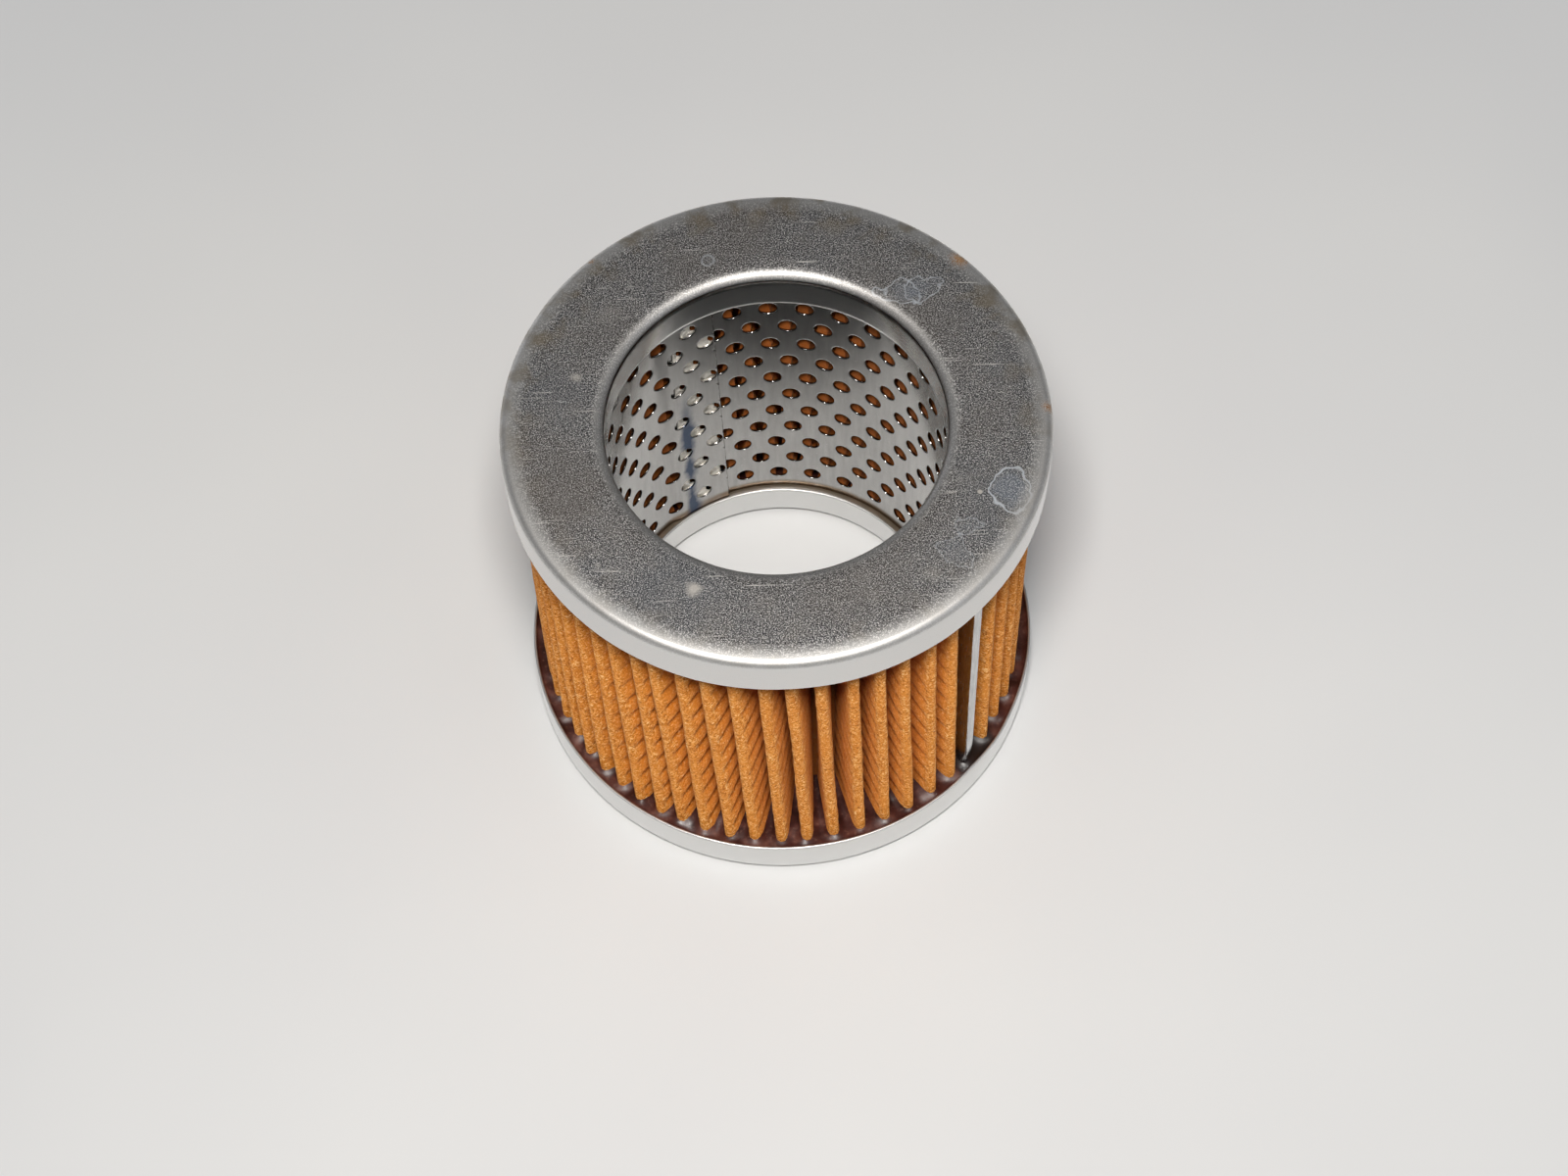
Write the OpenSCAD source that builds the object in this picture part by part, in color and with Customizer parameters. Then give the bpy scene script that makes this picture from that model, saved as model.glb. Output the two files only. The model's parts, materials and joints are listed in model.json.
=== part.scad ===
// Pleated-paper fuel filter element: two pressed end caps, a perforated core tube,
// a pleated paper pack closed by a folded clip, and a cast ring of potting in each cap.
// The origin is the centre of the bottom face and the bore runs along +Z.

/* [Overall size] */
// Outside diameter of both end caps
cap_od = 92.1; // [70:0.1:130]
// Diameter of the open bore through both caps
bore_d = 57.15; // [40:0.05:80]
// Height over the two cap faces
overall_h = 79.4; // [50:0.1:160]

/* [End caps] */
// Thickness of the pressed sheet
cap_sheet = 0.5; // [0.3:0.05:0.8]
// Height of the outer skirt, from the cap face
skirt_h = 8.5; // [6:0.1:14]
// Height of the inner collar, from the cap face
collar_h = 8.1; // [6:0.1:14]
// Outside corner radius between face and skirt
rim_corner = 1.35; // [0.9:0.05:2.5]
// Outside corner radius between face and bore wall
bore_corner = 1.9; // [0.9:0.05:2.5]

/* [Core tube] */
// Thickness of the perforated sheet
core_sheet = 0.45; // [0.3:0.05:0.8]
// Gap between a collar and the inner layer of the lap
core_fit = 0.1; // [0.02:0.01:0.5]
// Gap between the two layers of the lap
lap_gap = 0.04; // [0.02:0.01:0.2]
// Hole diameter
perf_d = 3.175; // [1.5:0.005:4]
// Distance between neighbouring hole centres
perf_pitch = 6.35; // [5:0.05:10]
// Plain sheet left between the potting and the nearest holes, at least
perf_margin = 2.6; // [1:0.1:10]
// Height of the middle row above the middle of the element
perf_rise = 1; // [-2:0.1:2]
// Direction of the inner free edge of the lap, anticlockwise from +X
lap_edge_at = 109.8; // [0:0.1:360]
// Length of the lap round the tube
lap_w = 9.8; // [5:0.1:15]
// Length over which the sheet steps in by one thickness
joggle_w = 2.9; // [1.5:0.1:5]

/* [Pleated paper] */
// Number of pleats, with the clipped one
pleat_count = 58; // [40:1:70]
// Paper thickness
paper_t = 0.5; // [0.3:0.05:0.7]
// Gap between the pleat tips and the inside of the skirts
tip_gap = 1.55; // [0.6:0.05:4]
// Gap between the core tube and the pleat roots
root_gap = 0.15; // [0.05:0.05:1]
// Width over an outer fold
tip_fold_w = 2.35; // [1.4:0.05:2.8]
// Width over an inner fold
root_fold_w = 1.8; // [1.2:0.05:2]
// Angle by which the roots are turned ahead of the tips
pleat_lean = 2.4; // [0:0.1:4]

/* [Seam clip] */
// Direction of the clip, anticlockwise from +X
clip_at = -41; // [-180:0.1:180]
// Thickness of the folded strip
clip_sheet = 0.3; // [0.2:0.05:0.5]
// Length of strip gripping the paper on each side
clip_grip = 7; // [4:0.1:8]
// Room left between the two paper ends for the glue line
clip_glue = 0.1; // [0.05:0.05:0.3]

/* [Potting] */
// Height of the potting surface, from the cap face
potting_level = 7; // [5:0.1:8]
// Potting between the inside of a cap face and the paper and tube ends
potting_cover = 1.2; // [1:0.1:2]

/* [Hidden] */
cap_r = cap_od / 2;
bore_r = bore_d / 2;
// the collar and skirt walls, on the potting side
collar_r = bore_r + cap_sheet;
skirt_r = cap_r - cap_sheet;
// the tube, paper and clip all have the same cut length
end_z = cap_sheet + potting_cover;
cut_len = overall_h - 2 * end_z;
// the core tube: inner layer of the lap, then the main layer outside it
lap_in_r = collar_r + core_fit;
lap_out_r = lap_in_r + core_sheet;
core_in_r = lap_out_r + lap_gap;
core_out_r = core_in_r + core_sheet;
lap_a = lap_w / core_in_r * 180 / PI;
joggle_a = joggle_w / core_in_r * 180 / PI;
// the outer layer stops just short of the joggle
lap_stop_a = 0.5;
// how far the stepped piece of the strip reaches into the plain arcs at its ends
joint_a = 0.5;
joint_near = 0.08;
joint_far = 0.03;
// holes in 60 degree staggered rows, alternate rows half a pitch along
row_step = perf_pitch * sin(60);
perf_span = overall_h - 2 * (potting_level + perf_margin) - perf_d;
perf_rows = floor(perf_span / row_step) + 1;
col_a = perf_pitch / 2 / core_in_r * 180 / PI;
// the column nearest the inner free edge, clear of it by a thin web
edge_web = 0.25;
edge_col_a = (perf_d / 2 + edge_web) / core_in_r * 180 / PI;
col_first = lap_edge_at + edge_col_a;
// half-pitch columns that fit from one free edge to the other
strip_a = 360 + lap_a - lap_stop_a;
col_last = floor((strip_a - 2 * edge_col_a) / col_a);
// columns through the inner layer only, and through the outer layer only
col_inner = floor((lap_a - lap_stop_a - 2 * edge_col_a) / col_a);
col_outer = ceil((360 - 2 * edge_col_a) / col_a);
// pleats
pitch_a = 360 / pleat_count;
tip_r = skirt_r - tip_gap;
root_r = core_out_r + root_gap;
tip_bend = (tip_fold_w - paper_t) / 2;
root_bend = (root_fold_w - paper_t) / 2;
tip_c = tip_r - tip_fold_w / 2;
root_c = root_r + root_fold_w / 2;
// the two paper ends stand side by side and the clip folds over them
seam_bend = (paper_t + clip_glue) / 2;
seam_proud = 0.1;
seam_r = tip_r + seam_proud;
seam_q_r = seam_r - clip_grip;
seam_q_a = pleat_lean * (seam_r - seam_q_r) / (seam_r - root_c);
clip_w = 2 * paper_t + clip_glue + 2 * clip_sheet;
clip_round = 0.45;
// the clip's legs stop short of the bend where the two ends meet
clip_short = 0.3;
// the potting seals across that bend
seal_over = 0.2;
// how far a cut runs past the face that it opens
cut_over = 1;
tip_steps = 4;
root_steps = 3;
$fn = 96;

function polar(r, a) = [r * cos(a), r * sin(a)];
function is_seam(i) = i % pleat_count == 0;
// centre and bend radius of outer fold i, in a frame turned to that fold
function fold_c(i) = is_seam(i) ? polar(seam_q_r, seam_q_a) : [tip_c, 0];
function fold_bend(i) = is_seam(i) ? seam_bend : tip_bend;
function root_local(side) = polar(root_c, side * pitch_a / 2 + pleat_lean);
// direction square to the leg on one side of fold i: side is 1 or -1
function leg_normal(i, side) =
    let(d = fold_c(i) - root_local(side))
    clip_at + i * pitch_a + atan2(d[1], d[0])
    + side * (90 + asin((fold_bend(i) + root_bend) / norm(d)));
// points round outer fold i on one face of the paper: face is 1 outside, -1 inside
function tip_points(i, face) = [
    for (k = [0 : tip_steps])
        polar(tip_c, clip_at + i * pitch_a)
        + polar(tip_bend + face * paper_t / 2,
                leg_normal(i, -1)
                + (leg_normal(i, 1) - leg_normal(i, -1)) * k / tip_steps)
];
// points round the inner fold that follows outer fold i
function root_points(i, face) = [
    for (k = [0 : root_steps])
        polar(root_c, clip_at + (i + 0.5) * pitch_a + pleat_lean)
        + polar(root_bend - face * paper_t / 2,
                leg_normal(i, 1) - 180
                + (leg_normal(i + 1, -1) - leg_normal(i, 1)) * k / root_steps)
];
// line of the seam, from where the two ends meet to their cut edges
seam_q = polar(seam_q_r, clip_at + seam_q_a);
seam_t = polar(seam_r, clip_at);
seam_dir = atan2(seam_t[1] - seam_q[1], seam_t[0] - seam_q[0]);
seam_len = norm(seam_t - seam_q);
function seam_point(along, across) =
    seam_q + polar(along, seam_dir) + polar(across, seam_dir + 90);
function seam_across(side, face) = side * (seam_bend + face * paper_t / 2);
function paper_face(face) = concat(
    [seam_point(seam_len, seam_across(1, face)), seam_point(0, seam_across(1, face))],
    root_points(0, face),
    [for (i = [1 : pleat_count - 1]) each concat(tip_points(i, face), root_points(i, face))],
    [seam_point(0, seam_across(-1, face)), seam_point(seam_len, seam_across(-1, face))]
);
function reversed(list) = [for (i = [len(list) - 1 : -1 : 0]) list[i]];

// half section through a cap, set in from its outer surface
module cap_outline(inset, top) {
    translate([bore_r + inset, bore_corner])
        square([cap_r - bore_r - 2 * inset, top - bore_corner]);
    translate([bore_r + bore_corner, inset])
        square([cap_r - bore_r - bore_corner - rim_corner, bore_corner]);
    translate([bore_r + bore_corner, bore_corner])
        circle(r = bore_corner - inset);
    translate([cap_r - rim_corner, rim_corner])
        circle(r = rim_corner - inset);
    translate([cap_r - 2 * rim_corner, rim_corner])
        square([2 * rim_corner - inset, top - rim_corner]);
}

module end_cap() {
    rotate_extrude()
        difference() {
            cap_outline(0, skirt_h);
            cap_outline(cap_sheet, skirt_h + cut_over);
            // the collar stands a little lower than the skirt
            translate([bore_r - cut_over, collar_h])
                square([cap_sheet + 2 * cut_over, skirt_h]);
        }
}

module sheet_arc(r_in, r_out, from, sweep) {
    rotate([0, 0, from])
        rotate_extrude(angle = sweep)
            translate([r_in, 0])
                square([r_out - r_in, cut_len]);
}

// the tube rolled from one strip, before punching
module core_strip() {
    sheet_arc(core_in_r, core_out_r, lap_edge_at + lap_a + joggle_a - 360,
              360 - joggle_a - lap_stop_a);
    linear_extrude(cut_len)
        polygon([
            polar(lap_in_r + joint_far, lap_edge_at + lap_a - joint_a),
            polar(lap_out_r - joint_near, lap_edge_at + lap_a - joint_a),
            polar(core_out_r - joint_far, lap_edge_at + lap_a + joggle_a + joint_a),
            polar(core_in_r + joint_near, lap_edge_at + lap_a + joggle_a + joint_a)
        ]);
    sheet_arc(lap_in_r, lap_out_r, lap_edge_at, lap_a);
}

module punch(from_r, to_r, at, z) {
    rotate([0, 0, at])
        translate([from_r, 0, z])
            rotate([0, 90, 0])
                cylinder(h = to_r - from_r, d = perf_d, $fn = 24);
}

module core_tube() {
    color("silver")
        translate([0, 0, end_z])
            difference() {
                core_strip();
                for (c = [0 : col_last])
                    for (k = [((c + 1) % 2) : 2 : perf_rows - 1])
                        punch(c >= col_outer ? lap_out_r + lap_gap / 2 : lap_in_r - cut_over,
                              c <= col_inner ? lap_out_r + lap_gap / 2 : core_out_r + cut_over,
                              col_first + c * col_a,
                              overall_h / 2 - end_z + perf_rise
                              + ((perf_rows - 1) / 2 - k) * row_step);
            }
}

module paper_section() {
    polygon(concat(paper_face(1), reversed(paper_face(-1))));
}

module pleated_paper() {
    color("peru")
        translate([0, 0, end_z])
            linear_extrude(cut_len)
                paper_section();
}

// a plain strip along the seam line, rounded at the outer end
module seam_bar(start, width) {
    translate(seam_q)
        rotate([0, 0, seam_dir]) {
            translate([start, -width / 2])
                square([seam_len + clip_sheet - clip_round - start, width]);
            translate([start, clip_round - width / 2])
                square([seam_len + clip_sheet - start, width - 2 * clip_round]);
            for (side = [-1, 1])
                translate([seam_len + clip_sheet - clip_round, side * (width / 2 - clip_round)])
                    circle(r = clip_round);
        }
}

module seam_clip() {
    color("gainsboro")
        translate([0, 0, end_z])
            linear_extrude(cut_len)
                difference() {
                    seam_bar(clip_short, clip_w);
                    translate(seam_q)
                        rotate([0, 0, seam_dir])
                            translate([-cut_over, clip_sheet - clip_w / 2])
                                square([seam_len + cut_over, clip_w - 2 * clip_sheet]);
                }
}

// potting covers the inside of a cap face and fills the pan outside the core tube
module potting_fill() {
    rotate_extrude()
        intersection() {
            cap_outline(cap_sheet, skirt_h);
            union() {
                translate([bore_r, 0])
                    square([cap_r - bore_r, end_z]);
                translate([core_out_r, 0])
                    square([cap_r - core_out_r, potting_level]);
            }
        }
}

// the paper and the clip stand in the potting, which doesn't enter the glue line
module set_in_potting() {
    translate([0, 0, end_z])
        linear_extrude(cut_len) {
            paper_section();
            seam_bar(-seal_over, clip_w);
        }
}

// turns a piece of the bottom end over to the top end
module at_top() {
    translate([0, 0, overall_h])
        mirror([0, 0, 1])
            children();
}

module top_end_cap() {
    color("dimgray")
        at_top()
            end_cap();
}

module bottom_end_cap() {
    color("dimgray")
        end_cap();
}

module top_potting() {
    color("saddlebrown")
        difference() {
            at_top()
                potting_fill();
            set_in_potting();
        }
}

module bottom_potting() {
    color("saddlebrown")
        difference() {
            potting_fill();
            set_in_potting();
        }
}

top_end_cap();
bottom_end_cap();
core_tube();
pleated_paper();
seam_clip();
top_potting();
bottom_potting();
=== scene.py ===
# A pleated-paper fuel filter element: two pressed tinplate caps, a punched core tube,
# a strip of pleated paper closed by a folded clip, and a cast ring of plastisol in each cap.
import json
import math

import bmesh
import bpy
from mathutils import Matrix, Vector, noise


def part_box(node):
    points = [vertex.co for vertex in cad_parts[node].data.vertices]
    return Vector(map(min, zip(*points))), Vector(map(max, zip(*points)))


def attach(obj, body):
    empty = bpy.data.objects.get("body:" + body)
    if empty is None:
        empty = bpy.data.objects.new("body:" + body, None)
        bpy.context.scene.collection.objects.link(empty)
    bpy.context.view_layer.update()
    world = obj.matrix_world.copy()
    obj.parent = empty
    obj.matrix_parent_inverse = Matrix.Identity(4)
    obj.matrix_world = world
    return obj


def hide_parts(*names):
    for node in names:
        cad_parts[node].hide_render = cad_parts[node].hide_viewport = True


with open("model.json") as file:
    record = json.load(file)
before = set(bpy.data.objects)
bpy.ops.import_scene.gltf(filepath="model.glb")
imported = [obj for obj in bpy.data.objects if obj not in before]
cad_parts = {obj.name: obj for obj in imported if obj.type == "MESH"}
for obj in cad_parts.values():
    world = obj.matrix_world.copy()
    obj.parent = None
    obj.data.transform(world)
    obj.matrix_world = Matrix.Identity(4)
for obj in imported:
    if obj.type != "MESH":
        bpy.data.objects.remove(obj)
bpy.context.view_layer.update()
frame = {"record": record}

MM = 0.001
TURN = 2 * math.pi
UP = Vector((0, 0, 1))
CENTRE = Vector((0, 0, 0))


# ---- sizes, in millimetres
def node_box(name):
    low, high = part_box(name)
    return low / MM, high / MM


mount_sizes = {m["name"]: m["dims"] for m in frame["record"]["mounts"]}
cap_high = node_box("bottom_end_cap")[1]
core_low, core_high = node_box("core_tube")
paper_low, paper_high = node_box("pleated_paper")
potting_high = node_box("bottom_potting")[1]

height = node_box("top_end_cap")[1].z
cap_r = cap_high.x
bore_r = mount_sizes["top_bore"]["r_mm"]
skirt_h = cap_high.z
collar_h = skirt_h - 0.4
sheet_t = cap_r - potting_high.x
rim_corner = 1.35
bore_corner = 1.9
lip_round = 0.20
core_r = core_high.x
core_sheet = 0.45
lap_step = core_sheet + 0.04
tip_r = 44.0
root_r = core_r + 0.15
end_z = paper_low.z
cut_len = paper_high.z - paper_low.z
potting_level = potting_high.z
clip_at = 49.0
clip_sheet = 0.3
ridge_pitch = 5.6


# ---- making pieces
def ring_point(radius, degrees, z):
    """A point at an angle measured from -Y towards +X, in metres."""
    a = math.radians(degrees)
    return Vector((radius * math.sin(a), -radius * math.cos(a), z)) * MM


def polar_of(co):
    """Radius, angle from -Y towards +X and height of a point, in millimetres and degrees."""
    x, y, z = co / MM
    return math.hypot(x, y), math.degrees(math.atan2(x, -y)), z


def ripple(x, y=0.0, z=0.0, seed=0.0):
    """A smooth value from about -1 to 1 that always repeats for the same place."""
    return noise.noise(Vector((x + 17.3 * seed, y - 9.1 * seed, z + 5.7 * seed)))


def round_ripple(degrees, turns, seed):
    """A ripple that closes on itself round the element."""
    a = math.radians(degrees)
    return ripple(turns * math.sin(a), turns * math.cos(a), 0.0, seed)


def hump(x, middle, width):
    """A smooth hump: 1 at its middle, nearly 0 from two widths away."""
    return math.exp(-((x - middle) / width) ** 2)


def from_front(degrees):
    """The same angle, written from -180 to 180 degrees."""
    return (degrees + 180) % 360 - 180


def line_of_points(bm, points, closed=False):
    """Points joined in order, and to a ring if closed; returns its points and edges."""
    verts = [bm.verts.new(p) for p in points]
    edges = [bm.edges.new(pair) for pair in zip(verts, verts[1:])]
    if closed:
        edges.append(bm.edges.new((verts[-1], verts[0])))
    return verts, edges


def extruded(bm, edges):
    """Extrudes edges without moving them; returns the new points and the edges between them."""
    grown = bmesh.ops.extrude_edge_only(bm, edges=edges)["geom"]
    verts = [g for g in grown if isinstance(g, bmesh.types.BMVert)]
    edges = [g for g in grown if isinstance(g, bmesh.types.BMEdge)
             and g.verts[0] in verts and g.verts[1] in verts]
    return verts, edges


def spun(bm, profile, steps):
    """Spins a closed profile of (radius, height) pairs once round the axis."""
    verts, edges = line_of_points(bm, [Vector((r, 0, z)) * MM for r, z in profile], True)
    bmesh.ops.spin(bm, geom=verts + edges, cent=CENTRE, axis=UP, angle=TURN, steps=steps,
                   use_merge=True, use_duplicate=False)
    bmesh.ops.remove_doubles(bm, verts=bm.verts[:], dist=1e-6)


def turn_over(bm):
    """Turns a piece made for the lower end over, for the upper end."""
    bmesh.ops.scale(bm, vec=Vector((1, 1, -1)), verts=bm.verts[:])
    bmesh.ops.translate(bm, vec=UP * height * MM, verts=bm.verts[:])


def shade(bm, limit_degrees):
    """Smooth faces, with edges sharper than the limit kept crisp."""
    for face in bm.faces:
        face.smooth = True
    for edge in bm.edges:
        if len(edge.link_faces) == 2:
            edge.smooth = edge.calc_face_angle(0) < math.radians(limit_degrees)


def place_piece(bm, name, material, slot_name, *nodes, limit=40, recalc=True):
    """Makes the object, on the element's one body, in place of the nodes it replaces."""
    if recalc:
        bmesh.ops.recalc_face_normals(bm, faces=bm.faces[:])
    shade(bm, limit)
    mesh = bpy.data.meshes.new(name)
    bm.to_mesh(mesh)
    bm.free()
    piece = bpy.data.objects.new(name, mesh)
    bpy.context.scene.collection.objects.link(piece)
    mesh.materials.append(material)
    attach(piece, "root")
    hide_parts(*nodes)
    return piece


# ---- materials
def tone(hex_text):
    """An sRGB hex colour as linear RGBA."""
    parts = [int(hex_text[i:i + 2], 16) / 255 for i in (0, 2, 4)]
    return [p / 12.92 if p <= 0.04045 else ((p + 0.055) / 1.055) ** 2.4 for p in parts] + [1.0]


def lumps_of(size_mm):
    """The noise scale whose lumps are about that many millimetres across."""
    return 500.0 / size_mm


def connect(tree, node, links):
    """Fills a node's live sockets from plain values, sockets, or other nodes' live outputs."""
    for name, value in links.items():
        if isinstance(name, int):
            socket = node.inputs[name]
        else:
            socket = next(s for s in node.inputs if s.enabled and s.name == name)
        if isinstance(value, bpy.types.Node):
            value = next(s for s in value.outputs if s.enabled)
        if isinstance(value, bpy.types.NodeSocket):
            tree.links.new(value, socket)
        else:
            socket.default_value = value


def add(tree, kind, links=None, stops=None, **settings):
    """Adds a node with its settings and links; stops are (place, hex) pairs of a colour ramp."""
    node = tree.nodes.new(kind)
    for name, value in settings.items():
        setattr(node, name, value)
    connect(tree, node, links or {})
    if stops:
        bar = node.color_ramp.elements
        while len(bar) < len(stops):
            bar.new(0.5)
        for element, (at, hex_text) in zip(bar, stops):
            element.position = at
            element.color = tone(hex_text)
    return node


def new_material(name):
    """A material, its nodes, its shader and where each point is on the element."""
    material = bpy.data.materials.new(name)
    material.use_nodes = True
    tree = material.node_tree
    where = add(tree, "ShaderNodeTexCoord").outputs["Object"]
    return material, tree, tree.nodes["Principled BSDF"], where


def axis_distance(tree, where):
    """Distance from the bore axis."""
    flat = add(tree, "ShaderNodeVectorMath", {0: where, 1: (1, 1, 0)}, operation="MULTIPLY")
    return add(tree, "ShaderNodeVectorMath", {0: flat}, operation="LENGTH")


def edge_distance(tree, where, lumps, centre, wobble):
    """Distance from a point, pushed in and out by lumps so that its circles turn uneven."""
    away = add(tree, "ShaderNodeVectorMath", {0: where, 1: Vector(centre) * MM},
               operation="DISTANCE")
    centred = add(tree, "ShaderNodeMath", {0: lumps, 1: 0.5}, operation="SUBTRACT")
    return add(tree, "ShaderNodeMath", {0: centred, 1: wobble * MM, 2: away},
               operation="MULTIPLY_ADD")


def patch(tree, where, lumps, centre, wobble, size, soft, strength):
    """A mask inside so many millimetres of a point, with an uneven, soft edge."""
    away = edge_distance(tree, where, lumps, centre, wobble)
    return add(tree, "ShaderNodeMapRange",
               {"Value": away, "From Min": size * MM, "From Max": (size - soft) * MM,
                "To Max": strength})


def dried_drop(tree, where, lumps, centre, wobble, size, shown):
    """The layers of a dried drop: a bluish patch, and a pale tide line along its edge."""
    inside = patch(tree, where, lumps, centre, wobble, size, 1.4, 0.26 * shown)
    away = edge_distance(tree, where, lumps, centre, wobble)
    off = add(tree, "ShaderNodeMath", {0: away, 1: size * MM}, operation="SUBTRACT")
    off = add(tree, "ShaderNodeMath", {0: off}, operation="ABSOLUTE")
    tide = add(tree, "ShaderNodeMapRange",
               {"Value": off, "From Min": 0.09 * MM, "From Max": 0.28 * MM,
                "To Min": shown, "To Max": 0.0})
    return [(inside, tone("b4c2d4")), (tide, tone("dfe4ea"))]


def tints(tree, *rows):
    """Layers of colour, each of which comes in as a value goes from one level to another."""
    layers = []
    for value, start, full, strength, colour in rows:
        mask = add(tree, "ShaderNodeMapRange",
                   {"Value": value, "From Min": start, "From Max": full, "To Max": strength})
        layers.append((mask, tone(colour)))
    return layers


def layered(tree, coloured, layers):
    """Lays each colour over the last one where its mask says."""
    for mask, colour in layers:
        coloured = add(tree, "ShaderNodeMix", {"Factor": mask, "A": coloured, "B": colour},
                       data_type="RGBA")
    return coloured


# Marks on the upper face: x, y and size in mm, then how uneven a drop's edge is or how soft
# a scuff's is, and how strongly the mark shows.
drops = ((38.4, -14.9, 3.6, 5.0, 0.85), (21.3, 25.2, 2.6, 9.0, 0.62),
         (25.2, 26.0, 2.2, 9.0, 0.62), (-11.1, 32.3, 1.0, 1.8, 0.42),
         (28.4, -25.8, 2.6, 9.0, 0.32), (31.0, -21.5, 1.6, 8.0, 0.32))
scuffs = ((-33.3, 9.5, 1.2, 1.1, 0.65), (-13.9, -31.5, 1.5, 1.3, 0.85),
          (33.1, -15.0, 0.42, 0.2, 0.9), (-29.5, -27.0, 0.9, 0.9, 0.3),
          (24.8, -30.0, 1.8, 1.8, 0.2), (-27.0, 22.0, 2.6, 2.6, 0.15),
          (-3.0, 41.5, 2.0, 2.0, 0.15))
# rust spots have x, y, height and size; the second is on the rounded corner
rust_spots = ((32.2, 31.4, height, 2.3), (45.2, 1.2, height - 0.8, 1.5),
              (-31.0, 33.0, height, 0.9))


def handling_marks(tree, where, lumps):
    """The layers of scratches, dried drops of water and scuffs on the upper face."""
    layers = []
    # short handling scratches in two directions, in worn patches
    worn = add(tree, "ShaderNodeMapRange",
               {"Value": lumps, "From Min": 0.44, "From Max": 0.58, "To Max": 0.85})
    for turn, shift in ((0.5, 0.0), (1.9, 0.31)):
        brushed = add(tree, "ShaderNodeMapping",
                      {"Vector": where, "Location": (shift, shift, 0), "Rotation": (0, 0, turn),
                       "Scale": (70, 1900, 0)})
        lines = add(tree, "ShaderNodeTexNoise",
                    {"Vector": brushed, "Scale": 1.0, "Detail": 1.0, "Roughness": 0.5})
        cut = add(tree, "ShaderNodeMapRange",
                  {"Value": lines, "From Min": 0.68, "From Max": 0.76})
        scratch = add(tree, "ShaderNodeMath", {0: cut, 1: worn}, operation="MULTIPLY")
        layers.append((scratch, tone("efece7")))
    for x, y, size, wobble, shown in drops:
        layers += dried_drop(tree, where, lumps, (x, y, height), wobble, size, shown)
    # pale scuffs where the face was knocked or slid
    for x, y, size, soft, shown in scuffs:
        scuff = patch(tree, where, lumps, (x, y, height), 2.8 * size, size, soft, shown)
        layers.append((scuff, tone("dbd6cf")))
    return layers


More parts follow.
